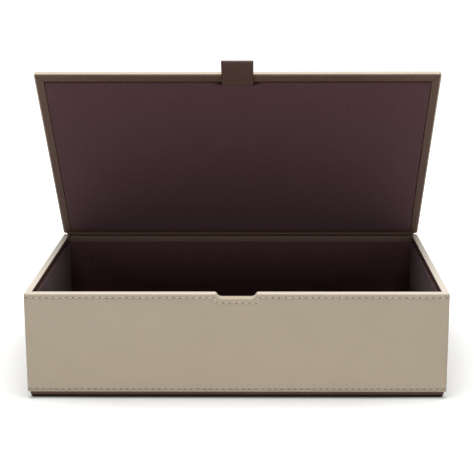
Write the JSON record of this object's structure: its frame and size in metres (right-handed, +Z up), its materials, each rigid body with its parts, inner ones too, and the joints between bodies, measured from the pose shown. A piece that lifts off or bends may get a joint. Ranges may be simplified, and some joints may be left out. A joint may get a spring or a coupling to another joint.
{
  "type": "stationery box",
  "caption": "Long, low leather-covered box on a plinth, with a fabric-lined compartment, a padded lid on a leather hinge, a pull tab and a finger notch",
  "frame": {"origin": "on the table, under the centre of the body's outline", "axes": "+X to the right along the front, +Y from the front to the hinge at the back, +Z up"},
  "size_m": [0.32, 0.198, 0.2499],
  "materials": {
    "taupe_leather": "pale taupe grained leather, satin",
    "brown_leather": "dark brown smooth leather, satin",
    "base_suede": "dark brown napped leather, matt",
    "aubergine_fabric": "fine aubergine cloth, matt with a soft sheen",
    "board": "dense fibreboard, matt",
    "thread": "cream waxed thread"
  },
  "bodies": {
    "box": {"base_pad": "base_suede", "plinth": "brown_leather", "floor_board": "board", "front_board": "board", "back_board": "board", "left_board": "board", "right_board": "board", "front_leather": "taupe_leather", "back_leather": "taupe_leather", "left_leather": "taupe_leather", "right_leather": "taupe_leather", "front_facing": "brown_leather", "back_facing": "brown_leather", "left_facing": "brown_leather", "right_facing": "brown_leather", "floor_liner": "aubergine_fabric", "front_liner": "aubergine_fabric", "back_liner": "aubergine_fabric", "left_liner": "aubergine_fabric", "right_liner": "aubergine_fabric", "rim_stitching": "thread", "hem_stitching": "thread", "spine_stitching": "thread", "hinge_leather": "brown_leather", "spine_leather": "taupe_leather"},
    "lid": {"lid_board": "board", "lid_cover": "taupe_leather", "lid_front_edging": "brown_leather", "lid_left_edging": "brown_leather", "lid_right_edging": "brown_leather", "lid_lining": "aubergine_fabric", "lid_stitching": "thread", "pull_tab": "brown_leather"}
  },
  "joints": [
    {"name": "lid_hinge", "type": "hinge", "parent": "box", "child": "lid", "pos_m": [0, 0.097, 0.08345], "axis": [-1, 0, 0], "range_deg": [-53.3, 56.7], "deforming": ["hinge_leather", "spine_leather"]}
  ]
}
